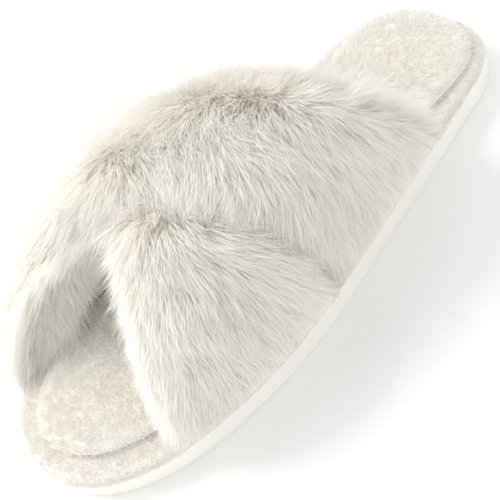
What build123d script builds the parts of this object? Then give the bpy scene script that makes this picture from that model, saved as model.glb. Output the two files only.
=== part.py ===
"""Cross-band fluffy house slipper for the left foot, in millimetres.

+Z is up, the toe points along -Y and the lateral side of the foot is +X. The origin lies on
the underside of the outsole, below the middle of the foot.
"""
from build123d import *
from math import cos, pi, radians, sin
import os

# Sole outline, seen from above: from the toe tip along the lateral side to the heel and back.
SOLE_OUTLINE = [
    (-6, -134), (14, -127.5), (35.5, -102), (47.5, -60), (49.5, -13), (43, 34), (37, 74),
    (31.5, 107), (27, 124), (19, 132), (3, 133), (-20, 125.5), (-33.5, 107), (-37, 74),
    (-38.5, 34), (-44.5, -13), (-49, -60), (-44.5, -101), (-27, -127),
]
EDGE_SAMPLES = 240      # points read from the outline to find its width

# Sole stack, from the floor up.
OUTSOLE_HEIGHT = 12.0
FILLER_HEIGHT = 1.2
BOARD_HEIGHT = 1.4
FOAM_HEIGHT = 3.0
WRAP_THICKNESS = 1.4
PAD_HEIGHT = 3.0
COVER_THICKNESS = 1.8
FIT_GAP = 0.1           # air left between neighbouring layers
OUTSOLE_ROUND = 1.5     # round of the outsole's bottom edge
WRAP_ROUND = 2.2        # round of the wrap's rim
COVER_ROUND = 2.4       # round of the insole's top edge

# Tread on the underside.
TREAD_DEPTH = 1.6
TREAD_WIDTH = 3.0
TREAD_PITCH = 11.0
TREAD_BORDER = 7.0
TREAD_ROWS = 24
TREAD_LENGTH = 120.0    # longer than the sole is wide: the border trims it

# Insole: how far it stays inside the sole outline.
INSOLE_INSET_FRONT = 11.0
INSOLE_INSET_HEEL = 3.2
INSET_CHANGE = (84.0, 114.0)    # Y range over which the inset changes
WRAP_FLANGE = 5.0               # how far the wrap reaches in under the insole
WRAP_MARGIN = 6.5               # width of the wrap's glued margin under the board
FILLER_MARGIN = 8.5             # the filler and the board stay this far inside the sole
BOARD_MARGIN = 10.6
LASTING_MARGIN = 12.0           # width of each band's glued margin

# Bands: both arch over the foot and cross above the instep.
LINING_THICKNESS = 2.0
BAND_FOAM_THICKNESS = 2.8
LAYER_GAP = 0.35
FUR_AT_SOLE = 3.2       # pile thickness where a band meets the sole
EDGE_GAP = 0.3          # pile stays this far inside the outsole's edge
LATERAL_RISE = 0.8      # how fast the pile thickens above the sole: lower is faster
MEDIAL_RISE = 0.36
EDGE_PILE = 0.60        # share of the full pile that stands along a band's edges
LINING_TRIM = 5.5       # the lining ends this far inside the edge of the pile
FOAM_TRIM = 10.0        # the foam ends this far inside the edge of the pile
STITCH_TRIM = 7.8       # the edge seam runs between foam edge and lining edge
BAND_GAP = 0.5          # air left around a band where another piece passes it
OVER_REACH = 80.0       # how far out a band's space is cleared, beyond its whole pile
UNDER_REACH = 60.0
SECTION_SHARES = [0, 0.12, 0.3, 0.5, 0.7, 0.88, 1]
SECTION_ANGLES = [0, 10, 22, 36, 52, 70, 90, 110, 128, 144, 158, 170, 180]

# Each edge of a band: Y where it starts and ends, its bow, and its skew.
# The over band starts at the medial side, the under band at the lateral side.
OVER_BAND = {
    "from_medial": True, "front": (-107, 5, 35, -7), "rear": (-23, 86, 8, -6),
    "height": 62.0, "squareness": 3.0, "pile": 23.0,
}
UNDER_BAND = {
    "from_medial": False, "front": (-88, -11, -3, -11), "rear": (0, 76, -14, -2),
    "height": 47.3, "squareness": 2.0, "pile": 27.5,
}

THREAD_RADIUS = 0.5
THREAD_GAP = 0.1            # air round a tack in its channel
EDGE_STITCH_COUNT = 14      # stitches along each edge of a band
EDGE_STITCH_ANGLES = (12.0, 168.0)
TACK_ANGLES = [78, 90, 102]     # where the two bands are tacked together at the crossing
TACK_ROWS = [4.0, 12.0]
INSOLE_STITCH_COUNT = 60
INSOLE_STITCH_LENGTH = 4.5
TACK_DEPTH = 1.0                # how much deeper the channel reaches than the tack
INSOLE_STITCH_OFFSET = 0.7      # the stitches lie in the groove, just outside the insole


# ---------------------------------------------------------------- sole helpers

def insole_inset(y):
    """Inset of the insole's edge: wide at the toe and bands, narrow round the heel."""
    start, end = INSET_CHANGE
    share = min(max((y - start) / (end - start), 0), 1)
    ease = share * share * (3 - 2 * share)
    return INSOLE_INSET_FRONT + (INSOLE_INSET_HEEL - INSOLE_INSET_FRONT) * ease


def drawn_in_face(inset_at):
    """Face inside the sole outline, each point moved inwards by the inset at its Y position."""
    points = []
    for index, (x, y) in enumerate(SOLE_OUTLINE):
        before = Vector(*SOLE_OUTLINE[index - 1])
        after = Vector(*SOLE_OUTLINE[(index + 1) % len(SOLE_OUTLINE)])
        along = (after - before).normalized()
        points.append(Vector(x, y) + Vector(-along.Y, along.X) * inset_at(y))
    with BuildSketch() as face:
        with BuildLine():
            Spline(*points, periodic=True)
        make_face()
    return face.sketch


def sole_face(inset=0.0):
    """Face of the sole outline, drawn in evenly by the inset."""
    return drawn_in_face(lambda y: inset)


def insole_face(extra=0.0):
    """Face of the insole's outline, drawn in by an extra inset."""
    return drawn_in_face(lambda y: insole_inset(y) + extra)


def slab(face, bottom, height):
    """Face from the ground plane, raised to the bottom height and extruded upwards."""
    with BuildPart() as layer:
        with BuildSketch(Plane.XY.offset(bottom)):
            add(face)
        extrude(amount=height)
    return layer.part


def sample_sole_edge():
    """Points along the sole outline's curve, split at the heel into lateral and medial."""
    curve = Spline(*SOLE_OUTLINE, periodic=True)
    points = [curve @ (index / EDGE_SAMPLES) for index in range(EDGE_SAMPLES)]
    heel = max(range(EDGE_SAMPLES), key=lambda index: points[index].Y)
    return points[:heel + 1], points[:heel - 1:-1]


LATERAL_EDGE, MEDIAL_EDGE = sample_sole_edge()


def edge_x(y, lateral):
    """Distance from the centre line to the sole's edge at a Y position."""
    side = LATERAL_EDGE if lateral else MEDIAL_EDGE
    for low, high in zip(side, side[1:]):
        if low.Y <= y <= high.Y:
            return abs(low.X + (high.X - low.X) * (y - low.Y) / (high.Y - low.Y))
    raise ValueError(f"no sole edge at y = {y}")


# ---------------------------------------------------------------- band helpers

def section_plane(angle):
    """Plane through the lengthwise axis at sole height; its x is +Y and its y points outwards."""
    turn = radians(angle)
    return Plane(origin=(0, 0, OUTSOLE_HEIGHT), x_dir=(0, 1, 0), z_dir=(sin(turn), 0, -cos(turn)))


def edge_y(band, edge, angle):
    """Y position of a band's front or rear edge at an angle round the arch."""
    start, end, bow, skew = band[edge]
    share = 1 - angle / 180 if band["from_medial"] else angle / 180
    return start + (end - start) * share + bow * sin(pi * share) + skew * sin(2 * pi * share)


def arch_radius(band, angle, y):
    """Radius of the lining's inner face: a rounded-square arch that starts inside the sole's edge."""
    stack = LINING_THICKNESS + BAND_FOAM_THICKNESS + 2 * LAYER_GAP + FUR_AT_SOLE + EDGE_GAP
    half_width = edge_x(y, angle < 90) - stack
    power = band["squareness"]
    across = abs(cos(radians(angle))) / half_width
    up = sin(radians(angle)) / band["height"]
    return (across ** power + up ** power) ** (-1 / power)


def pile_thickness(band, angle, share):
    """Thickness of the pile: thin at the sole and the edges, full along the band's middle."""
    rise = max(sin(radians(angle)), 0) ** (LATERAL_RISE if angle < 90 else MEDIAL_RISE)
    dome = EDGE_PILE + (1 - EDGE_PILE) * (1 - abs(2 * share - 1) ** 3)
    return FUR_AT_SOLE + (band["pile"] - FUR_AT_SOLE) * rise * dome


def band_layer(band, trim, inner, outer):
    """Loft one layer of a band; inner and outer give its offsets for an angle and a share."""
    with BuildPart() as layer:
        for angle in SECTION_ANGLES:
            front = edge_y(band, "front", angle) + trim
            rear = edge_y(band, "rear", angle) - trim
            stations = [front + (rear - front) * share for share in SECTION_SHARES]
            radii = [arch_radius(band, angle, y) for y in stations]
            places = list(zip(stations, radii, SECTION_SHARES))
            low = [(y, radius + inner(angle, share)) for y, radius, share in places]
            high = [(y, radius + outer(angle, share)) for y, radius, share in places]
            with BuildSketch(section_plane(angle)):
                with BuildLine():
                    Spline(*low)
                    Line(low[-1], high[-1])
                    Spline(*reversed(high))
                    Line(high[0], low[0])
                make_face()
        loft()
    return layer.part


def lining_layer(band):
    return band_layer(band, LINING_TRIM, lambda a, s: 0, lambda a, s: LINING_THICKNESS)


def foam_layer(band):
    start = LINING_THICKNESS + LAYER_GAP
    return band_layer(band, FOAM_TRIM, lambda a, s: start, lambda a, s: start + BAND_FOAM_THICKNESS)


def fur_layer(band):
    start = LINING_THICKNESS + BAND_FOAM_THICKNESS + 2 * LAYER_GAP
    return band_layer(band, 0, lambda a, s: start, lambda a, s: start + pile_thickness(band, a, s))


def band_envelope(band, reach):
    """The space a band takes up, with air round it, out to a far reach."""
    return band_layer(band, -BAND_GAP, lambda a, s: -BAND_GAP, lambda a, s: reach)


def lasting_margins(band, gap=0.0):
    """The two ends of a band's lining, turned in under the board and glued to the outsole."""
    with BuildPart() as margins:
        for angle in (0, 180):
            front = edge_y(band, "front", angle) + LINING_TRIM - gap
            rear = edge_y(band, "rear", angle) - LINING_TRIM + gap
            sign = 1 if angle < 90 else -1
            outer = [(sign * (arch_radius(band, angle, y) + LINING_THICKNESS / 2), y)
                     for y in (front, (front + rear) / 2, rear)]
            inner = [(x - sign * (LASTING_MARGIN + gap), y) for x, y in outer]
            with BuildSketch(Plane.XY.offset(OUTSOLE_HEIGHT - gap)):
                with BuildLine():
                    Spline(*outer)
                    Line(outer[-1], inner[-1])
                    Spline(*reversed(inner))
                    Line(inner[0], outer[0])
                make_face()
            extrude(amount=FILLER_HEIGHT - FIT_GAP + 2 * gap)
    return margins.part


def outward_plane(band, angle, y, height):
    """Plane facing outwards from a band's arch, at a height above the lining's inner face."""
    turn = radians(angle)
    outward = Vector(cos(turn), 0, sin(turn))
    foot = Vector(0, y, OUTSOLE_HEIGHT) + outward * (arch_radius(band, angle, y) + height)
    return Plane(origin=foot, z_dir=outward)


def edge_seam(band):
    """Stitches through the turned edges of a band, between its lining and its fur."""
    first, last = EDGE_STITCH_ANGLES
    with BuildPart() as seam:
        for edge, trim in (("front", STITCH_TRIM), ("rear", -STITCH_TRIM)):
            for index in range(EDGE_STITCH_COUNT):
                angle = first + (last - first) * index / (EDGE_STITCH_COUNT - 1)
                y = edge_y(band, edge, angle) + trim
                with BuildSketch(outward_plane(band, angle, y, LINING_THICKNESS + 2 * LAYER_GAP)):
                    Circle(THREAD_RADIUS)
                extrude(amount=BAND_FOAM_THICKNESS - 2 * LAYER_GAP)
    return seam.part


def crossing_tacks(radius, below):
    """Short threads that tie the over band down on the under band where they cross."""
    with BuildPart() as tacks:
        for angle in TACK_ANGLES:
            for y in TACK_ROWS:
                low = LINING_THICKNESS + BAND_FOAM_THICKNESS + 2 * LAYER_GAP - below
                length = arch_radius(OVER_BAND, angle, y) - arch_radius(UNDER_BAND, angle, y) - low
                with BuildSketch(outward_plane(UNDER_BAND, angle, y, low)):
                    Circle(radius)
                extrude(amount=length - THREAD_GAP)
    return tacks.part


# ---------------------------------------------------------------- heights of the stack

board_bottom = OUTSOLE_HEIGHT + FILLER_HEIGHT
foam_bottom = board_bottom + BOARD_HEIGHT + FIT_GAP
foam_top = foam_bottom + FOAM_HEIGHT
wrap_top = foam_top + FIT_GAP + WRAP_THICKNESS
pad_bottom = wrap_top + FIT_GAP
pad_top = pad_bottom + PAD_HEIGHT
cover_top = pad_top + FIT_GAP + COVER_THICKNESS

over_space = band_envelope(OVER_BAND, OVER_REACH)
under_space = band_envelope(UNDER_BAND, UNDER_REACH)

# ---------------------------------------------------------------- sole

with BuildPart() as outsole:
    with BuildSketch():
        add(sole_face())
    extrude(amount=OUTSOLE_HEIGHT)
    fillet(outsole.faces().sort_by(Axis.Z)[0].edges(), radius=OUTSOLE_ROUND)
    with BuildSketch():
        with GridLocations(0, TREAD_PITCH, 1, TREAD_ROWS):
            SlotOverall(TREAD_LENGTH, TREAD_WIDTH)
        add(sole_face(TREAD_BORDER), mode=Mode.INTERSECT)
    extrude(amount=TREAD_DEPTH, mode=Mode.SUBTRACT)

with BuildPart() as bottom_filler:
    add(slab(sole_face(FILLER_MARGIN), OUTSOLE_HEIGHT, FILLER_HEIGHT - FIT_GAP))
    for band in (OVER_BAND, UNDER_BAND):
        add(lasting_margins(band, 2 * BAND_GAP), mode=Mode.SUBTRACT)

with BuildPart() as insole_board:
    add(slab(sole_face(BOARD_MARGIN), board_bottom, BOARD_HEIGHT))

with BuildPart() as midsole_foam:
    add(slab(sole_face(WRAP_THICKNESS + 2 * FIT_GAP), foam_bottom, FOAM_HEIGHT))
    add(over_space, mode=Mode.SUBTRACT)
    add(under_space, mode=Mode.SUBTRACT)

with BuildPart() as side_wrap:
    with BuildSketch(Plane.XY.offset(OUTSOLE_HEIGHT)):
        add(sole_face(FIT_GAP))
    extrude(amount=wrap_top - OUTSOLE_HEIGHT)
    fillet(side_wrap.faces().sort_by(Axis.Z)[-1].edges(), radius=WRAP_ROUND)
    add(slab(sole_face(WRAP_THICKNESS + FIT_GAP), board_bottom, foam_top + FIT_GAP - board_bottom),
        mode=Mode.SUBTRACT)
    add(slab(insole_face(WRAP_FLANGE), foam_top, 2 * WRAP_THICKNESS), mode=Mode.SUBTRACT)
    add(slab(sole_face(WRAP_MARGIN), OUTSOLE_HEIGHT, 2 * WRAP_THICKNESS), mode=Mode.SUBTRACT)
    add(over_space, mode=Mode.SUBTRACT)
    add(under_space, mode=Mode.SUBTRACT)

with BuildPart() as insole_pad:
    add(slab(insole_face(COVER_THICKNESS + FIT_GAP), pad_bottom, PAD_HEIGHT))

with BuildPart() as insole_cover:
    with BuildSketch(Plane.XY.offset(pad_bottom)):
        add(insole_face())
    extrude(amount=cover_top - pad_bottom)
    fillet(insole_cover.faces().sort_by(Axis.Z)[-1].edges(), radius=COVER_ROUND)
    add(slab(insole_face(COVER_THICKNESS), pad_bottom, PAD_HEIGHT + FIT_GAP), mode=Mode.SUBTRACT)

with BuildPart() as insole_stitches:
    groove = insole_face(-INSOLE_STITCH_OFFSET).face().outer_wire()
    for index in range(INSOLE_STITCH_COUNT):
        place = groove @ (index / INSOLE_STITCH_COUNT) + Vector(0, 0, wrap_top + THREAD_RADIUS)
        with BuildSketch(Plane(origin=place, z_dir=groove % (index / INSOLE_STITCH_COUNT))):
            Circle(THREAD_RADIUS - FIT_GAP / 2)
        extrude(amount=INSOLE_STITCH_LENGTH / 2, both=True)

pieces = {
    "outsole": outsole, "bottom_filler": bottom_filler, "insole_board": insole_board,
    "midsole_foam": midsole_foam, "side_wrap": side_wrap, "insole_pad": insole_pad,
    "insole_cover": insole_cover, "insole_stitches": insole_stitches,
}

# ---------------------------------------------------------------- bands

with BuildPart() as over_band_lining:
    add(lining_layer(OVER_BAND))
    add(lasting_margins(OVER_BAND))

with BuildPart() as over_band_foam:
    add(foam_layer(OVER_BAND))

with BuildPart() as over_band_fur:
    add(fur_layer(OVER_BAND))

with BuildPart() as under_band_lining:
    add(lining_layer(UNDER_BAND))
    add(lasting_margins(UNDER_BAND))

with BuildPart() as under_band_foam:
    add(foam_layer(UNDER_BAND))

with BuildPart() as under_band_fur:
    add(fur_layer(UNDER_BAND))
    add(over_space, mode=Mode.SUBTRACT)
    add(crossing_tacks(THREAD_RADIUS + THREAD_GAP, TACK_DEPTH), mode=Mode.SUBTRACT)

with BuildPart() as over_band_stitches:
    add(edge_seam(OVER_BAND))

with BuildPart() as under_band_stitches:
    add(edge_seam(UNDER_BAND))

with BuildPart() as crossing_stitches:
    add(crossing_tacks(THREAD_RADIUS, THREAD_GAP))

pieces |= {
    "over_band_lining": over_band_lining, "over_band_foam": over_band_foam,
    "over_band_fur": over_band_fur, "under_band_lining": under_band_lining,
    "under_band_foam": under_band_foam, "under_band_fur": under_band_fur,
    "over_band_stitches": over_band_stitches, "under_band_stitches": under_band_stitches,
    "crossing_stitches": crossing_stitches,
}

os.makedirs("parts", exist_ok=True)
for name, piece in pieces.items():
    piece.part.label = name
    export_step(piece.part, f"parts/{name}.step")
    print(name, len(piece.part.solids()), round(piece.part.volume))
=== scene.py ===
"""Looks of the fluffy cross-band house slipper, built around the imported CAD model, in metres.

Every hair, tuft and cushion here is real geometry that rides on the slipper's one body.
"""

import math

import bpy
import numpy as np
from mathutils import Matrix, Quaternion, Vector
from mathutils.bvhtree import BVHTree


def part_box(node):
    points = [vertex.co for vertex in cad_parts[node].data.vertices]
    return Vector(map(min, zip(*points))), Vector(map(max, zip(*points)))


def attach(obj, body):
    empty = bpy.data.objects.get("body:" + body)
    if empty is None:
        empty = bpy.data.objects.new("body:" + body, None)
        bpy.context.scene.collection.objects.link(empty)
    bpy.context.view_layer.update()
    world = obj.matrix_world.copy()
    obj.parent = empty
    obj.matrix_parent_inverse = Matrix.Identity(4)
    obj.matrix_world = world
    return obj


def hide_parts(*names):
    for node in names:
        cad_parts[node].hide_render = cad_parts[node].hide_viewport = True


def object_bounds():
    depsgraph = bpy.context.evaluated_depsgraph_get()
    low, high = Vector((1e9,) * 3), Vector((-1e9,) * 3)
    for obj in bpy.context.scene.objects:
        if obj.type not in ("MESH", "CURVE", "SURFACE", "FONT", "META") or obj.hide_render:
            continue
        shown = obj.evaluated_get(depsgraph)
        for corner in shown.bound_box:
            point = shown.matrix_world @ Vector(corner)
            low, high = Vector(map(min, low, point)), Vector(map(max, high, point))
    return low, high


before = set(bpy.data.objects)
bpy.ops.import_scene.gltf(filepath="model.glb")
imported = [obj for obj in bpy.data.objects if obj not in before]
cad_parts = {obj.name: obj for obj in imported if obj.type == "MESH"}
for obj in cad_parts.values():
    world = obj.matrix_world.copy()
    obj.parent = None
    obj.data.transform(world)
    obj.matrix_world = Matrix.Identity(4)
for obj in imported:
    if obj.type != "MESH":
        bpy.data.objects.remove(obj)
cad_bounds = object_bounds()

MM = 0.001
rng = np.random.default_rng(12)

# ---------------------------------------------------------------- view and light
CAMERA_PLACE = Vector((0.4455, -0.0960, 0.6464))
CAMERA_AIM = Vector((-0.0006, -0.0032, 0.0133))
CAMERA_ROLL = math.radians(39.3)
CAMERA_LENS = 128.1
CAMERA_FAR = 20.0
WORLD_STRENGTH = 1.0
KEY_PLACE = (-0.8, -0.35, 1.0)
KEY_SIZE = 0.8
KEY_POWER = 12
KEY_COLOUR = (1.0, 0.985, 0.96)
LIGHT_BOUNCES = 10          # pale fur stays bright only when light may pass on many times
FLOOR_SIZE = 6.0
FLOOR_COLOUR = (0.93, 0.93, 0.93, 1)

# ---------------------------------------------------------------- places read from the frame
SOLE_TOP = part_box("outsole")[1].z
COVER_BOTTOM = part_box("insole_cover")[0].z
COVER_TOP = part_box("insole_cover")[1].z
CAST_REACH = 0.25           # rays from outside start this far from the lengthwise axis
RAY_LIFT = 0.2 * MM         # rays from a surface start this far off it
FREE_REACH = 8 * MM         # hairs may stand this far outside the CAD model's box
HAIR_REACH = (np.array(cad_bounds[0]) - FREE_REACH, np.array(cad_bounds[1]) + FREE_REACH)
PRESS = 0.7                 # share by which what stands further out is pressed back

# Where the edges of the sole and the insole are read.
SOLE_ROWS = 140
SOLE_INSET = 2 * MM         # from the toe and the heel
SOLE_LEVEL = 0.6            # share of the sole's height
COVER_INSET = 0.15 * MM     # from the toe and the heel
COVER_RISE = 0.5 * MM       # above its bottom

# How far hairs may hang past the sole's edge: a start, and more for every metre above the sole.
SOLE_GAP = 0.4 * MM
LATERAL_FLARE = 1 / 1.45
MEDIAL_OVERHANG = 9 * MM
MEDIAL_FLARE = 0.9

# ---------------------------------------------------------------- hairs
HAIR_SIDES = 3
HAIR_POINTS = 3             # along a hair's centre line, the tip included
PIECE_TRIANGLES = 190_000   # most triangles in one piece; a piece of this size exports whole
TAPER_POWER = 1.5           # hairs thin slowly at first
TONE_STRIP = 0.04           # width of a hair's strip of the bake layer; its place is the hair's tone
ODD_DIRECTION = np.array([0.31, 0.22, 0.92])    # hardly any hair points this way

# ---------------------------------------------------------------- fur
BAND_ANGLES = np.radians(np.arange(1.5, 180, 2.5))      # round the arch, from the lateral side
BAND_STEP = 1 * MM
BAND_COLUMNS = 45
BODY_SHARE = 0.62           # the dense undercoat fills this share of the pile's depth
EDGE_BODY = 0.35            # of that, this share is left at the band's edges
THINNEST_BODY = 1 * MM
BODY_GAP = 0.05 * MM        # between the lining and the undercoat
BODY_CROWN = 6              # the larger this power, the flatter the undercoat between its edges
BODY_WIDTH = (0.94, 0.90)   # share of the band's width: at the sole, and over the crown
ROLL_RISE = 0.4             # the smaller this power, the nearer the sole the full roll begins
ROLL_FADE = 3               # the larger this power, the faster the roll fades behind the front edge
MEDIAL_RANGE = (95, 138)    # angles round the arch where the medial side's fuller fur sets in
TUFT_HAIRS = 6
TUFT_SPREAD = 1.2 * MM
TUFT_GATHER = 0.38          # share of its spread that a tuft loses towards its tip,
GATHER_POWER = 1.2          # slowly at first
TUFT_LENGTHS = (0.65, 1.15)
TUFT_DROOP = 0.3
STRAY = 0.11                # how far tips stray, as a share of the hair's length,
STRAY_POWER = 1.5           # slowly at first
FUR_RADIUS = (0.08, 0.14)   # in mm
FUR_TAPER = 0.7
LONGEST_HAIR = 21 * MM
SHORTEST_HAIR = 8 * MM
HAIR_PER_DEPTH = 0.46       # hair length for each metre of the pile's depth
HAIR_LENGTHS = (0.8, 1.15)
HAIR_AT_SOLE = (6 * MM, 13 * MM)        # longest hair there: lateral side, and medial side
HAIR_PER_HEIGHT = 0.8       # what is added to that for each metre above the sole
EDGE_LENGTHS = (0.7, 1.15)
EDGE_AT_SOLE = (6 * MM, 10 * MM)
EDGE_PER_HEIGHT = 0.5
LEAST_ROOM = 3 * MM         # hairs with less room below the over band are left out
CREASE_WIDTH = 34 * MM      # the under band's fur is pressed flatter this close to the over band
LEAST_PRESSED = 0.3
REARWARD = 1.2              # the over band is looked for outwards, and this much to the rear

# How far hairs lean over from standing straight, in degrees: at the root, and at the tip.
FUR_LEAN = (36, 66)
FUR_LEAN_SCATTER = (9, 10)
STAND_RANGE = (128, 152)    # over these angles round the arch the fur comes to stand up more,
STAND_UP = (22, 28)         # by this many degrees
EDGE_LEAN = 22
INNER_LEAN = {"front": 18, "rear": 45}
EDGE_BEND = 24              # from root to tip
EDGE_LEAN_SCATTER = (12, 14)

# How the fur's flow wanders, in radians: in smooth patches, and from tuft to tuft.
FLOW_PATCHES = 0.35
FLOW_PATCH_SCALE = 150
FLOW_SEED = 3
FLOW_SCATTER = 0.22
WAVES = 5                   # a patch pattern is this many waves, with scales that vary this much
WAVE_SCALES = (0.6, 1.6)
WAVE_SUM = 2.2              # brings the sum of the waves to about 1

# The hair that stands out from the edges: how much it points ahead, and how it parts up and down.
EDGE_AHEAD = 0.7
EDGE_PARTING = (1.5, -0.55)
EDGE_FALL = 0.3
INNER_COLUMNS = 3           # grid columns at the lining's edge that carry the inner edge hair

# ---------------------------------------------------------------- plush and insole
PLUSH_LENGTH = 2.6 * MM
PLUSH_LENGTHS = (0.7, 1.2)
PLUSH_SINK = 0.2 * MM       # roots start this far below the surface
PLUSH_LEAN = (30, 58)       # in degrees: at the root, and at the tip
PLUSH_LEAN_SCATTER = (12, 14)
PLUSH_DROOP = 0.05
PLUSH_PATCHES = 1.4         # how the pile's direction wanders, in radians
PLUSH_PATCH_SCALE = 70
PLUSH_SEED = 5
PLUSH_SCATTER = 0.7
PLUSH_RADIUS = (0.09, 0.15)     # in mm
PLUSH_TAPER = 0.6
INSOLE_CROWN = 0.9 * MM     # the insole's middle swells this much above its CAD height
INSOLE_SWELL = 20 * MM      # and reaches that height this far from its edge
INSOLE_ROUND = 5.0 * MM
INSOLE_EDGE_DROP = 3.0 * MM
INSOLE_EDGE_POWER = 2.2
INSOLE_ROWS = 150
INSOLE_COLUMNS = 49
INSOLE_HAIRS = 160000
INSOLE_COVERED = (-45 * MM, 40 * MM)    # the bands hide the insole here, so its pile is sparser
COVERED_SHARE = 0.3
RIM_HAIRS = 90000
RIM_ROOM = 6 * MM           # the rim has plush only where this much room is free outside it
LINING_HAIRS = 14000
LINING_FOOT = 3 * MM        # the linings have plush from this height above the sole
OUTWARD_LIMIT = 0.4         # cosine; a lining's faces that look more outwards carry no plush
BARE_EDGE = 0.5 * MM        # no plush this close above a joint line

# ---------------------------------------------------------------- materials
HAIR_MIDDLE = 0.45          # place of the middle colour along a hair
HAIR_SHEEN_ROUGHNESS = 0.4
HAIR_SPECULAR = 0.25
MOTTLE_DETAIL = 6
MOTTLE_ROUGHNESS = 0.65
MOTTLE_RANGE = (0.3, 0.7)
FIBRE_SCALE = 6             # how much finer the bump is than the mottle
FIBRE_DETAIL = 4
FIBRE_DEPTH = 1 * MM
FLOOR_ROUGHNESS = 0.9


def unit(vectors):
    """Vectors scaled to length one."""
    length = np.linalg.norm(vectors, axis=-1, keepdims=True)
    return vectors / np.maximum(length, 1e-9)


def smooth_step(value, low, high):
    """0 below low, 1 above high, with a soft change between."""
    share = np.clip((value - low) / (high - low), 0, 1)
    return share * share * (3 - 2 * share)


def along_surface(flow, normals):
    """The flow's directions laid flat on the surface."""
    return unit(flow - normals * (flow * normals).sum(-1, keepdims=True))


def outward_at(places):
    """Unit vectors from the lengthwise axis at sole height outwards to the places."""
    return unit(places * np.array([1.0, 0, 1.0]) - np.array([0, 0, SOLE_TOP]))


def node_tree(name):
    """Ray-casting tree of a CAD node."""
    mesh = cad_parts[name].data
    return BVHTree.FromPolygons([v.co for v in mesh.vertices], [p.vertices for p in mesh.polygons])


# ---------------------------------------------------------------- materials

def new_material(name):
    """A new material, its nodes, its links and its shader node."""
    material = bpy.data.materials.new(name)
    material.use_nodes = True
    nodes = material.node_tree.nodes
    return material, nodes, material.node_tree.links, nodes["Principled BSDF"]


def ramp(nodes, stops):
    """Colour ramp with the given (place, colour) stops."""
    node = nodes.new("ShaderNodeValToRGB")
    elements = node.color_ramp.elements
    while len(elements) < len(stops):
        elements.new(0.5)
    for element, (place, colour) in zip(elements, stops):
        element.position = place
        element.color = (*colour, 1)
    return node


def hair_material(name, root, middle, tip, spread, roughness=0.6, sheen=0.3):
    """Hair colour from root to tip, with a tone of its own for each hair; the darker, warmer root colour
    is painted shade of the pile's depths.
    """
    material, nodes, links, shader = new_material(name)
    place = nodes.new("ShaderNodeUVMap")
    place.uv_map = "OFBake"
    split = nodes.new("ShaderNodeSeparateXYZ")
    links.new(place.outputs["UV"], split.inputs[0])
    # darker and warmer towards the root: painted shade deep in the pile
    along = ramp(nodes, [(0.0, root), (HAIR_MIDDLE, middle), (1.0, tip)])
    links.new(split.outputs["Y"], along.inputs["Fac"])
    tones = ramp(nodes, [(0.0, (1 - spread,) * 3), (1.0, (1.0, 1.0, 1.0))])
    links.new(split.outputs["X"], tones.inputs["Fac"])
    mix = nodes.new("ShaderNodeMix")
    mix.data_type = "RGBA"
    mix.blend_type = "MULTIPLY"
    mix.inputs["Factor"].default_value = 1.0
    links.new(along.outputs["Color"], mix.inputs["A"])
    links.new(tones.outputs["Color"], mix.inputs["B"])
    links.new(mix.outputs["Result"], shader.inputs["Base Color"])
    shader.inputs["Roughness"].default_value = roughness
    shader.inputs["Sheen Weight"].default_value = sheen
    shader.inputs["Sheen Roughness"].default_value = HAIR_SHEEN_ROUGHNESS
    shader.inputs["Specular IOR Level"].default_value = HAIR_SPECULAR
    return material


def cloth_material(name, dark, light, scale, bump, roughness=0.9, sheen=0.4):
    """Matte pile or foam: mottled colour with a fine fibrous bump."""
    material, nodes, links, shader = new_material(name)
    coords = nodes.new("ShaderNodeTexCoord")
    noise = nodes.new("ShaderNodeTexNoise")
    noise.inputs["Scale"].default_value = scale
    noise.inputs["Detail"].default_value = MOTTLE_DETAIL
    noise.inputs["Roughness"].default_value = MOTTLE_ROUGHNESS
    links.new(coords.outputs["Object"], noise.inputs["Vector"])
    colours = ramp(nodes, list(zip(MOTTLE_RANGE, (dark, light))))
    links.new(noise.outputs["Fac"], colours.inputs["Fac"])
    links.new(colours.outputs["Color"], shader.inputs["Base Color"])
    fine = nodes.new("ShaderNodeTexNoise")
    fine.inputs["Scale"].default_value = scale * FIBRE_SCALE
    fine.inputs["Detail"].default_value = FIBRE_DETAIL
    links.new(coords.outputs["Object"], fine.inputs["Vector"])
    relief = nodes.new("ShaderNodeBump")
    relief.inputs["Strength"].default_value = bump
    relief.inputs["Distance"].default_value = FIBRE_DEPTH
    links.new(fine.outputs["Fac"], relief.inputs["Height"])
    links.new(relief.outputs["Normal"], shader.inputs["Normal"])
    shader.inputs["Roughness"].default_value = roughness
    shader.inputs["Sheen Weight"].default_value = sheen
    return material


# Roots darker and warmer than tips: painted shade deep in the fur and the plush.
FUR_HAIR = hair_material(
    "fur_hair", (0.915, 0.885, 0.82), (0.945, 0.925, 0.87), (0.97, 0.958, 0.93), 0.05)
PLUSH_HAIR = hair_material(
    "plush_hair", (0.89, 0.87, 0.825), (0.92, 0.905, 0.87), (0.94, 0.928, 0.90), 0.04)
FUR_BODY = cloth_material("fur_undercoat", (0.91, 0.88, 0.81), (0.95, 0.93, 0.88), 220, 0.3)
PLUSH_BASE = cloth_material("plush_base", (0.89, 0.87, 0.82), (0.92, 0.905, 0.865), 200, 0.2)
EVA = cloth_material(
    "moulded_eva", (0.90, 0.885, 0.84), (0.93, 0.915, 0.87), 60, 0.12, roughness=0.55, sheen=0.0)
FOAM = cloth_material("foam", (0.80, 0.77, 0.66), (0.88, 0.85, 0.75), 500, 0.4)
FELT = cloth_material("felt", (0.55, 0.52, 0.47), (0.68, 0.65, 0.60), 400, 0.5)
BOARD = cloth_material("fibre_board", (0.56, 0.47, 0.35), (0.68, 0.58, 0.45), 120, 0.3)
THREAD = cloth_material("thread", (0.78, 0.74, 0.66), (0.86, 0.83, 0.76), 900, 0.3)

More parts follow.
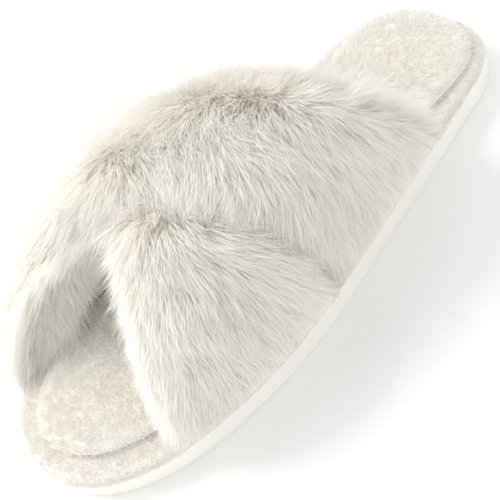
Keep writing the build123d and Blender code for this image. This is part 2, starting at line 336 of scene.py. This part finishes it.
NODE_MATERIALS = {
    "outsole": EVA, "bottom_filler": FELT, "insole_board": BOARD, "midsole_foam": FOAM,
    "side_wrap": PLUSH_BASE, "insole_pad": FOAM, "insole_stitches": THREAD,
    "over_band_lining": PLUSH_BASE, "over_band_foam": FOAM, "under_band_lining": PLUSH_BASE,
    "under_band_foam": FOAM, "over_band_stitches": THREAD, "under_band_stitches": THREAD,
    "crossing_stitches": THREAD,
}


def finish_cad_nodes():
    """Give each CAD node that stays in view its material."""
    for name, material in NODE_MATERIALS.items():
        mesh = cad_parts[name].data
        mesh.materials.clear()
        mesh.materials.append(material)


# ---------------------------------------------------------------- meshes

def add_piece(name, mesh, material):
    """Object for a finished mesh, riding on the slipper's body."""
    mesh.materials.append(material)
    piece = bpy.data.objects.new(name, mesh)
    bpy.context.scene.collection.objects.link(piece)
    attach(piece, "root")
    return piece


def grid_solid(name, outer, inner, material):
    """Closed solid between two grids of points with the same rows and columns."""
    rows, columns = outer.shape[:2]
    points = np.concatenate([outer.reshape(-1, 3), inner.reshape(-1, 3)])
    index = np.arange(rows * columns).reshape(rows, columns)
    top = np.stack([index[:-1, :-1], index[1:, :-1], index[1:, 1:], index[:-1, 1:]], -1).reshape(-1, 4)
    bottom = top[:, ::-1] + rows * columns
    rim = np.concatenate([index[0, :-1], index[:-1, -1], index[-1, :0:-1], index[:0:-1, 0]])
    following = np.roll(rim, -1)
    wall = np.stack([rim, following, following + rows * columns, rim + rows * columns], -1)
    mesh = bpy.data.meshes.new(name)
    mesh.from_pydata(points.tolist(), [], np.concatenate([top, bottom, wall]).tolist())
    mesh.polygons.foreach_set("use_smooth", np.ones(len(mesh.polygons), bool))
    return add_piece(name, mesh, material)


def hair_faces(rings):
    """Corners, sizes and places (across, along) of one hair's faces: root cap, walls and tip."""
    loops = [0, 2, 1]
    sizes = [HAIR_SIDES]
    places = [(0.0, 0.0), (1 / HAIR_SIDES, 0.0), (2 / HAIR_SIDES, 0.0)]
    for ring in range(rings - 1):
        low = ring / rings
        high = (ring + 1) / rings
        for side in range(HAIR_SIDES):
            a = ring * HAIR_SIDES + side
            b = ring * HAIR_SIDES + (side + 1) % HAIR_SIDES
            left = side / HAIR_SIDES
            right = (side + 1) / HAIR_SIDES
            loops += [a, b, b + HAIR_SIDES, a + HAIR_SIDES]
            sizes.append(4)
            places += [(left, low), (right, low), (right, high), (left, high)]
    last = (rings - 1) * HAIR_SIDES
    low = (rings - 1) / rings
    for side in range(HAIR_SIDES):
        left = side / HAIR_SIDES
        right = (side + 1) / HAIR_SIDES
        loops += [last + side, last + (side + 1) % HAIR_SIDES, rings * HAIR_SIDES]
        sizes.append(3)
        places += [(left, low), (right, low), ((left + right) / 2, 1.0)]
    return loops, sizes, places


def hair_mesh(name, paths, radii, tones):
    """Closed tapered hairs; paths is hairs by points by xyz, and the last point is the tip."""
    count, points = paths.shape[:2]
    rings = points - 1
    tangent = unit(np.gradient(paths, axis=1))
    side = unit(np.cross(tangent, ODD_DIRECTION))
    other = np.cross(tangent, side)
    corner = np.arange(HAIR_SIDES) * 2 * math.pi / HAIR_SIDES
    around = side[:, :rings, None] * np.cos(corner)[:, None]
    around = around + other[:, :rings, None] * np.sin(corner)[:, None]
    ring_points = paths[:, :rings, None] + around * radii[:, :, None, None]
    vertices = np.concatenate([ring_points.reshape(count, rings * HAIR_SIDES, 3), paths[:, -1:]], 1)
    per_hair = rings * HAIR_SIDES + 1
    loops, sizes, places = hair_faces(rings)

    mesh = bpy.data.meshes.new(name)
    mesh.vertices.add(count * per_hair)
    mesh.vertices.foreach_set("co", vertices.astype(np.float32).ravel())
    all_loops = (np.array(loops)[None] + np.arange(count)[:, None] * per_hair).ravel()
    mesh.loops.add(len(all_loops))
    mesh.loops.foreach_set("vertex_index", all_loops.astype(np.int32))
    all_sizes = np.tile(sizes, count)
    mesh.polygons.add(len(all_sizes))
    mesh.polygons.foreach_set("loop_start", (np.cumsum(all_sizes) - all_sizes).astype(np.int32))
    mesh.polygons.foreach_set("use_smooth", np.zeros(len(all_sizes), bool))
    mesh.update(calc_edges=True)
    layer = mesh.uv_layers.new(name="OFBake")
    strip_starts = np.stack([tones * (1 - TONE_STRIP), tones * 0], -1)[:, None]
    uv = np.array(places)[None] * np.array([TONE_STRIP, 1.0]) + strip_starts
    layer.data.foreach_set("uv", uv.astype(np.float32).ravel())
    return mesh


def hair_pieces(name, paths, radii, material):
    """Hairs split into pieces of a size that exports whole."""
    triangles = 2 * HAIR_SIDES * (paths.shape[1] - 1) - 2
    per_piece = PIECE_TRIANGLES // triangles
    tones = rng.random(len(paths))
    for number, start in enumerate(range(0, len(paths), per_piece), 1):
        part = slice(start, start + per_piece)
        mesh = hair_mesh(f"{name}_{number}", paths[part], radii[part], tones[part])
        add_piece(f"{name}_{number}", mesh, material)


def grow(roots, normals, flow, length, lean_root, lean_tip, droop):
    """Hair centre lines: each leans over from the normal along the flow, more and more to its tip."""
    steps = HAIR_POINTS - 1
    step_length = length / steps
    places = [roots]
    for step in range(steps):
        share = (step + 0.5) / steps
        lean = (lean_root + (lean_tip - lean_root) * share)[:, None]
        heading = normals * np.cos(lean) + flow * np.sin(lean)
        heading = unit(heading + np.array([0, 0, -1.0]) * droop * share)
        places.append(places[-1] + heading * step_length[:, None])
    return np.stack(places, 1)


def tapered_radii(radius, taper):
    """Hair radius at each ring, thick at the root."""
    steps = HAIR_POINTS - 1
    share = np.arange(steps) / steps
    return radius[:, None] * (1 - share[None] ** TAPER_POWER * taper)


# ---------------------------------------------------------------- sole edge

def edge_table(tree, ys, height):
    """The Y positions, with a flat piece's medial and lateral X at each, at one height."""
    inwards = Vector((-1, 0, 0))
    lateral = [tree.ray_cast(Vector((CAST_REACH, y, height)), inwards)[0].x for y in ys]
    medial = [tree.ray_cast(Vector((-CAST_REACH, y, height)), -inwards)[0].x for y in ys]
    return ys, np.array(medial), np.array(lateral)


def sole_edge_table():
    """Y positions with the sole's medial and lateral X there."""
    low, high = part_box("outsole")
    ys = np.linspace(low.y + SOLE_INSET, high.y - SOLE_INSET, SOLE_ROWS)
    return edge_table(node_tree("outsole"), ys, SOLE_TOP * SOLE_LEVEL)


EDGE_Y, MEDIAL_X, LATERAL_X = sole_edge_table()


def keep_off_sole_edge(paths):
    """Bend hairs back so that they don't hang far past the sole's edge, or below its top."""
    lateral = np.interp(paths[..., 1], EDGE_Y, LATERAL_X)
    height = np.maximum(paths[..., 2] - SOLE_TOP, 0)
    paths[..., 0] = np.minimum(paths[..., 0], lateral - SOLE_GAP + height * LATERAL_FLARE)
    medial = np.interp(paths[..., 1], EDGE_Y, MEDIAL_X)
    paths[..., 0] = np.maximum(paths[..., 0], medial - MEDIAL_OVERHANG - height * MEDIAL_FLARE)
    paths[..., 2] = np.maximum(paths[..., 2], SOLE_TOP + SOLE_GAP)
    return paths


def keep_in_reach(paths):
    """Press hairs in softly where they would stand too far outside the CAD model's box."""
    low, high = HAIR_REACH
    for axis in range(3):
        above = np.maximum(paths[..., axis] - high[axis], 0)
        below = np.maximum(low[axis] - paths[..., axis], 0)
        paths[..., axis] += (below - above) * PRESS
    return paths


# ---------------------------------------------------------------- bands

# The fur of each band. The rolls push the undercoat's front edge forward, and medial_fill makes it
# deeper on the medial side. turns_over is the range of angles round the arch, in degrees from the
# lateral side, where the fur changes from falling to the lateral side to falling to the medial.
# The fans are how far it turns forward at the front and the rear edge; below 0 it turns to the
# rear. cover is the band that lies on top.
OVER_LOOK = {
    "tufts": 18500, "edge_tufts": 5400, "inner_tufts": 2400, "edge_length": 19 * MM,
    "roll": 5 * MM, "medial_roll": 17 * MM, "medial_fill": 0.26,
    "turns_over": (90, 150), "front_fan": 0.9, "rear_fan": 0.4, "cover": None,
}
UNDER_LOOK = {
    "tufts": 15000, "edge_tufts": 3200, "inner_tufts": 1000, "edge_length": 9 * MM,
    "roll": -3 * MM, "medial_roll": 0.0, "medial_fill": 0.0,
    "turns_over": (105, 140), "front_fan": 1.0, "rear_fan": -0.5,
    "cover": node_tree("over_band_lining"),
}


class Band:
    """Shape of a band's pile, read from its CAD node round the lengthwise axis at sole height.

    Rows go round the arch, and columns go from the front edge to the rear. At each place there is
    its Y, and the pile's inner and outer radius.
    """

    def __init__(self, node):
        tree = node_tree(node)
        low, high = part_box(node)
        ys = np.arange(low.y + BAND_STEP / 4, high.y, BAND_STEP)
        self.shares = np.linspace(0, 1, BAND_COLUMNS)
        rows = []
        for angle in BAND_ANGLES:
            outward = Vector((math.cos(angle), 0, math.sin(angle)))
            found = []
            for y in ys:
                axis = Vector((0, y, SOLE_TOP))
                inner = tree.ray_cast(axis, outward)[3]
                outer = tree.ray_cast(axis + outward * CAST_REACH, -outward)[3]
                if inner is not None and outer is not None:
                    found.append((y, inner, CAST_REACH - outer))
            found = np.array(found)
            places = found[0, 0] + (found[-1, 0] - found[0, 0]) * self.shares
            inner = np.interp(places, found[:, 0], found[:, 1])
            outer = np.interp(places, found[:, 0], found[:, 2])
            rows.append([places, inner, outer])
        self.y, self.inner, self.outer = np.array(rows).transpose(1, 0, 2)


def arch_points(radius, y):
    """Grid of points at a radius round the lengthwise axis, one row for each of the band angles."""
    angle = BAND_ANGLES[:, None]
    return np.stack([radius * np.cos(angle), y, SOLE_TOP + radius * np.sin(angle)], -1)


def pressed_by(cover, band):
    """Share of its depth that a band's pile keeps at each grid point, close to the band above it."""
    if cover is None:
        return np.ones(band.inner.shape)
    roots = arch_points(band.inner, band.y).reshape(-1, 3)
    directions = unit(outward_at(roots) + np.array([0, REARWARD, 0]))
    room = room_under(roots, directions, cover).reshape(band.inner.shape)
    return np.clip(room / CREASE_WIDTH, LEAST_PRESSED, 1)


def body_grids(band, look, press):
    """Outer and inner grids of a band's dense undercoat: crowned, and rolled over its front edge."""
    depth = band.outer - band.inner
    medial = smooth_step(np.degrees(BAND_ANGLES), *MEDIAL_RANGE)[:, None]
    height = np.sin(BAND_ANGLES)[:, None]
    crown = np.sqrt(np.clip(1 - np.abs(2 * band.shares - 1) ** BODY_CROWN, 0, 1))
    filled = np.maximum(depth * (BODY_SHARE + look["medial_fill"] * medial), THINNEST_BODY) * press
    outer = band.inner + filled * (EDGE_BODY + (1 - EDGE_BODY) * crown)
    middle = band.y[:, [BAND_COLUMNS // 2]]
    at_sole, at_crown = BODY_WIDTH
    width = at_sole + (at_crown - at_sole) * height
    inner_y = middle + (band.y - middle) * width
    roll = (look["roll"] + look["medial_roll"] * medial) * height ** ROLL_RISE
    outer_y = inner_y - roll * (1 - band.shares) ** ROLL_FADE
    return arch_points(outer, outer_y), arch_points(band.inner + BODY_GAP, inner_y)


def grid_normals(grid):
    """Outward normals of a grid whose rows run round the arch."""
    across = np.gradient(grid, axis=1)
    around = np.gradient(grid, axis=0)
    return unit(np.cross(across, around))


def scatter_on_grid(grid, count, *values):
    """Random places, even over a grid's area, with the normals and the values' grids there."""
    a = grid[1:, :-1] - grid[:-1, :-1]
    b = grid[:-1, 1:] - grid[:-1, :-1]
    area = np.linalg.norm(np.cross(a, b), axis=-1)
    cells = rng.choice(area.size, count, p=(area / area.sum()).ravel())
    row, column = np.unravel_index(cells, area.shape)
    u = rng.random(count)
    v = rng.random(count)
    weights = [((1 - u) * (1 - v), 0, 0), (u * (1 - v), 1, 0), ((1 - u) * v, 0, 1), (u * v, 1, 1)]

    def blend(grid_values):
        total = 0
        for weight, down, right in weights:
            sample = grid_values[row + down, column + right]
            total = total + sample * (weight[:, None] if sample.ndim == 2 else weight)
        return total

    return blend(grid), unit(blend(grid_normals(grid))), *[blend(value) for value in values]


def tangent_noise(places, scale, seed):
    """Smooth random angle over the surface, from a few waves."""
    waves = np.random.default_rng(seed)
    total = np.zeros(len(places))
    for _ in range(WAVES):
        direction = unit(waves.normal(size=3)) * scale * waves.uniform(*WAVE_SCALES)
        total += np.sin(places @ direction + waves.uniform(0, 2 * math.pi))
    return total / WAVE_SUM


def room_under(places, directions, tree):
    """Room from each place to the given tree, in the given direction."""
    room = []
    for place, direction in zip(places, directions):
        distance = tree.ray_cast(Vector(place), Vector(direction))[3]
        room.append(CAST_REACH if distance is None else distance)
    return np.array(room)


def tufted_hairs(name, roots, normals, flow, length, lean_root, lean_tip):
    """Tufts of fur: the hairs of a tuft start side by side and gather towards its tip."""
    tufts = len(roots)
    share = np.linspace(0, 1, HAIR_POINTS)[None, None, :, None]
    centre = grow(roots, normals, flow, length, lean_root, lean_tip, TUFT_DROOP)
    spread = rng.normal(0, TUFT_SPREAD, (tufts, TUFT_HAIRS, 3))
    spread -= normals[:, None] * (spread * normals[:, None]).sum(-1, keepdims=True)
    gather = 1 - TUFT_GATHER * share ** GATHER_POWER
    stray = rng.normal(0, 1, (tufts, TUFT_HAIRS, 3)) * (length * STRAY)[:, None, None]
    shorten = rng.uniform(*TUFT_LENGTHS, (tufts, TUFT_HAIRS))[:, :, None, None]
    paths = (centre - centre[:, :1])[:, None] * shorten + centre[:, None, :1]
    paths = paths + spread[:, :, None] * gather + stray[:, :, None] * share ** STRAY_POWER
    paths = keep_in_reach(keep_off_sole_edge(paths.reshape(-1, HAIR_POINTS, 3)))
    radius = rng.uniform(*FUR_RADIUS, len(paths)) * MM
    hair_pieces(name, paths, tapered_radii(radius, FUR_TAPER), FUR_HAIR)


def longest_hair(roots, at_sole, per_height):
    """Longest hair allowed at each root: short near the sole, most of all on its lateral side."""
    lateral, medial = at_sole
    return np.where(roots[:, 0] > 0, lateral, medial) + (roots[:, 2] - SOLE_TOP) * per_height


def fur_on_band(name, band, look):
    """Long fur over a band: it falls to both sides, and turns forward most at the front edge."""
    press = pressed_by(look["cover"], band)
    outer_grid, inner_grid = body_grids(band, look, press)
    body = grid_solid(name + "_undercoat", outer_grid, inner_grid, FUR_BODY)
    shares = np.repeat(band.shares[None], len(BAND_ANGLES), 0)
    roots, normals, depth, share = scatter_on_grid(
        outer_grid, look["tufts"], (band.outer - band.inner) * press, shares)
    length = np.minimum(SHORTEST_HAIR + HAIR_PER_DEPTH * depth, LONGEST_HAIR)
    length = np.minimum(length, longest_hair(roots, HAIR_AT_SOLE, HAIR_PER_HEIGHT))
    length = length * rng.uniform(*HAIR_LENGTHS, len(roots))
    if look["cover"] is not None:
        room = room_under(roots, normals, look["cover"])
        length = np.minimum(length, room)
        kept = room > LEAST_ROOM
        roots, normals, length, share = roots[kept], normals[kept], length[kept], share[kept]

    angle = np.arctan2(roots[:, 2] - SOLE_TOP, roots[:, 0])
    sideways = 1 - 2 * smooth_step(np.degrees(angle), *look["turns_over"])
    forward = look["front_fan"] + (look["rear_fan"] - look["front_fan"]) * share
    flow = np.stack([np.sin(angle) * sideways, -forward, -np.cos(angle) * sideways], -1)
    flow = along_surface(flow, normals)
    turn = FLOW_PATCHES * tangent_noise(roots, FLOW_PATCH_SCALE, FLOW_SEED)
    turn = turn + rng.normal(0, FLOW_SCATTER, len(roots))
    flow = flow * np.cos(turn)[:, None] + np.cross(normals, flow) * np.sin(turn)[:, None]
    stand = smooth_step(np.degrees(angle), *STAND_RANGE)
    leans = []
    for lean, scatter, less in zip(FUR_LEAN, FUR_LEAN_SCATTER, STAND_UP):
        leans.append(np.radians(rng.normal(lean, scatter, len(roots)) - less * stand))
    tufted_hairs(name + "_hair", roots, normals, flow, length, *leans)
    roll_edges(name, outer_grid, inner_grid, look)
    return body


def roll_edges(name, outer_grid, inner_grid, look):
    """Fur that stands out from a band's edges and rolls them over, on to the lining's edge."""
    up, down = EDGE_PARTING
    for edge, column, direction in (("front", 0, -1.0), ("rear", -1, 1.0)):
        ahead = np.array([0, direction, 0])
        wall = np.stack([outer_grid[:, column], inner_grid[:, column]], 1)
        roots, normals, level = scatter_on_grid(
            wall, look["edge_tufts"], np.tile([1.0, 0.0], (len(wall), 1)))
        radial = outward_at(roots)
        outwards = np.sign((normals * (ahead - 0.5 * radial)).sum(1, keepdims=True))
        normals = unit(normals * outwards + EDGE_AHEAD * ahead)
        flow = unit(radial * (level * up + down)[:, None] - np.array([0, 0, EDGE_FALL]))
        flow = along_surface(flow, normals)
        stand_on_edge(f"{name}_{edge}_edge_hair", roots, normals, flow, look, EDGE_LEAN)

        strip = inner_grid[:, :INNER_COLUMNS] if column == 0 else inner_grid[:, -INNER_COLUMNS:]
        roots, _ = scatter_on_grid(strip, look["inner_tufts"])
        flow = np.tile(ahead, (len(roots), 1))
        stand_on_edge(f"{name}_{edge}_inner_hair", roots, -outward_at(roots), flow, look, INNER_LEAN[edge])


def stand_on_edge(name, roots, normals, flow, look, lean):
    """Hairs along a band's edge, short near the sole."""
    length = np.minimum(look["edge_length"], longest_hair(roots, EDGE_AT_SOLE, EDGE_PER_HEIGHT))
    length = length * rng.uniform(*EDGE_LENGTHS, len(roots))
    if look["cover"] is not None:
        kept = room_under(roots, outward_at(roots), look["cover"]) > LEAST_ROOM
        roots, normals, flow, length = roots[kept], normals[kept], flow[kept], length[kept]
    leans = []
    for mean, scatter in zip((lean, lean + EDGE_BEND), EDGE_LEAN_SCATTER):
        leans.append(np.radians(rng.normal(mean, scatter, len(roots))))
    tufted_hairs(name, roots, normals, flow, length, *leans)


def make_bands():
    """Fur on both bands, in place of the plain fur of the CAD model."""
    over = fur_on_band("over_band", Band("over_band_fur"), OVER_LOOK)
    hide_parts("over_band_fur")
    under = fur_on_band("under_band", Band("under_band_fur"), UNDER_LOOK)
    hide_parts("under_band_fur")


# ---------------------------------------------------------------- plush

def scatter_on_mesh(mesh, count):
    """Random places on a mesh, even over its area, with the face normals there."""
    mesh.calc_loop_triangles()
    vertices = np.array([v.co for v in mesh.vertices])
    corners = vertices[np.array([t.vertices for t in mesh.loop_triangles])]
    cross = np.cross(corners[:, 1] - corners[:, 0], corners[:, 2] - corners[:, 0])
    area = np.linalg.norm(cross, axis=1)
    chosen = rng.choice(len(area), count, p=area / area.sum())
    u = rng.random(count)
    v = rng.random(count)
    folded = u + v > 1
    u[folded] = 1 - u[folded]
    v[folded] = 1 - v[folded]
    a, b, c = corners[chosen].transpose(1, 0, 2)
    return a + (b - a) * u[:, None] + (c - a) * v[:, None], unit(cross[chosen])


def seen_places(places, normals, trees, room):
    """Which places have free room outside them, along their normals."""
    seen = []
    for place, normal in zip(places, normals):
        start = Vector(place + normal * RAY_LIFT)
        seen.append(all(tree.ray_cast(start, Vector(normal), room)[0] is None for tree in trees))
    return np.array(seen)


def plush_pile(name, places, normals):
    """Short plush: fine hairs that lean a little, in patches brushed different ways."""
    count = len(places)
    heading = PLUSH_PATCHES * tangent_noise(places, PLUSH_PATCH_SCALE, PLUSH_SEED)
    heading = heading + rng.normal(0, PLUSH_SCATTER, count)
    flow = np.stack([np.cos(heading), np.sin(heading), np.zeros(count)], -1)
    flow = along_surface(flow, normals)
    leans = []
    for lean, scatter in zip(PLUSH_LEAN, PLUSH_LEAN_SCATTER):
        leans.append(np.radians(rng.normal(lean, scatter, count)))
    length = PLUSH_LENGTH * rng.uniform(*PLUSH_LENGTHS, count)
    paths = grow(places - normals * PLUSH_SINK, normals, flow, length, *leans, PLUSH_DROOP)
    radius = rng.uniform(*PLUSH_RADIUS, count) * MM
    hair_pieces(name, paths, tapered_radii(radius, PLUSH_TAPER), PLUSH_HAIR)


def insole_edge_table():
    """Y positions from toe to heel with the insole's medial and lateral X there."""
    low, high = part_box("insole_cover")
    turn = np.linspace(0, math.pi, INSOLE_ROWS)
    middle = (low.y + high.y) / 2
    half = (high.y - low.y) / 2 - COVER_INSET
    return edge_table(node_tree("insole_cover"), middle - half * np.cos(turn), COVER_BOTTOM + COVER_RISE)


def make_insole():
    """Soft insole with a rounded edge and a gently swollen middle, in short plush."""
    ys, medial, lateral = insole_edge_table()
    across = np.sin(np.linspace(-1, 1, INSOLE_COLUMNS) * math.pi / 2)
    x = (medial + lateral)[:, None] / 2 + (lateral - medial)[:, None] / 2 * across
    y = np.repeat(ys[:, None], INSOLE_COLUMNS, 1)
    edge = np.concatenate([np.stack([medial, ys], -1), np.stack([lateral, ys], -1)])
    plan = np.stack([x, y], -1)
    distance = np.sqrt(((plan[:, :, None] - edge) ** 2).sum(-1)).min(-1)
    distance[[0, -1]] = 0
    distance[:, [0, -1]] = 0
    fall = np.clip(1 - distance / INSOLE_ROUND, 0, 1) ** INSOLE_EDGE_POWER * INSOLE_EDGE_DROP
    top = COVER_TOP - fall + INSOLE_CROWN * smooth_step(distance, 0, INSOLE_SWELL)
    places = np.concatenate([plan, top[..., None]], -1)
    outer = places[::-1]
    inner = outer.copy()
    inner[..., 2] = COVER_BOTTOM
    cushion = grid_solid("insole_cushion", outer, inner, PLUSH_BASE)
    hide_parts("insole_cover")
    roots, normals = scatter_on_mesh(cushion.data, INSOLE_HAIRS)
    up = (normals[:, 2] > 0.1) & (roots[:, 2] > COVER_BOTTOM + BARE_EDGE)
    hidden = (roots[:, 1] > INSOLE_COVERED[0]) & (roots[:, 1] < INSOLE_COVERED[1])
    up &= ~hidden | (rng.random(len(roots)) < COVERED_SHARE)
    plush_pile("insole_plush", roots[up], normals[up])


def make_rim_and_linings():
    """Short plush on the side wrap's rim and inside both bands."""
    trees = [node_tree(name) for name in ("side_wrap", "insole_cover", "outsole")]
    places, normals = scatter_on_mesh(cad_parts["side_wrap"].data, RIM_HAIRS)
    keep = seen_places(places, normals, trees, RIM_ROOM) & (places[:, 2] > SOLE_TOP + BARE_EDGE)
    plush_pile("rim_plush", places[keep], normals[keep])
    for band in ("over_band", "under_band"):
        places, normals = scatter_on_mesh(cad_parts[band + "_lining"].data, LINING_HAIRS)
        axis = np.stack([places[:, 0], np.zeros(len(places)), places[:, 2] - SOLE_TOP], -1)
        inward = (unit(axis) * normals).sum(1) < OUTWARD_LIMIT
        keep = inward & (places[:, 2] > SOLE_TOP + LINING_FOOT)
        plush_pile(band + "_lining_plush", places[keep], normals[keep])


# ---------------------------------------------------------------- scene

def make_camera():
    """Camera at the photographed view."""
    data = bpy.data.cameras.new("camera")
    data.lens = CAMERA_LENS
    data.clip_end = CAMERA_FAR
    camera = bpy.data.objects.new("camera", data)
    bpy.context.scene.collection.objects.link(camera)
    forward = (CAMERA_AIM - CAMERA_PLACE).normalized()
    level = forward.to_track_quat("-Z", "Y")
    camera.rotation_mode = "QUATERNION"
    camera.rotation_quaternion = Quaternion(forward, CAMERA_ROLL) @ level
    camera.location = CAMERA_PLACE
    bpy.context.scene.camera = camera


def make_floor():
    """White studio floor."""
    mesh = bpy.data.meshes.new("floor")
    corners = [(-1, -1), (1, -1), (1, 1), (-1, 1)]
    mesh.from_pydata([(x * FLOOR_SIZE, y * FLOOR_SIZE, 0) for x, y in corners], [], [(0, 1, 2, 3)])
    floor = bpy.data.objects.new("floor", mesh)
    bpy.context.scene.collection.objects.link(floor)
    material, _, _, shader = new_material("floor_white")
    shader.inputs["Base Color"].default_value = FLOOR_COLOUR
    shader.inputs["Roughness"].default_value = FLOOR_ROUGHNESS
    mesh.materials.append(material)


def add_area_light(name, place, size, power, colour):
    data = bpy.data.lights.new(name, "AREA")
    data.size = size
    data.energy = power
    data.color = colour
    light = bpy.data.objects.new(name, data)
    light.location = place
    light.rotation_mode = "QUATERNION"
    light.rotation_quaternion = (-Vector(place)).to_track_quat("-Z", "Y")
    bpy.context.scene.collection.objects.link(light)


def make_light():
    """Even white surroundings and one soft key light."""
    world = bpy.data.worlds.new("studio")
    world.use_nodes = True
    background = world.node_tree.nodes["Background"]
    background.inputs["Color"].default_value = (1.0, 1.0, 1.0, 1)
    background.inputs["Strength"].default_value = WORLD_STRENGTH
    bpy.context.scene.world = world
    bpy.context.scene.cycles.max_bounces = LIGHT_BOUNCES
    bpy.context.scene.cycles.diffuse_bounces = LIGHT_BOUNCES
    add_area_light("key", KEY_PLACE, KEY_SIZE, KEY_POWER, KEY_COLOUR)
    bpy.context.scene.view_settings.view_transform = "Standard"


finish_cad_nodes()
make_bands()
make_insole()
make_rim_and_linings()
make_camera()
make_floor()
make_light()
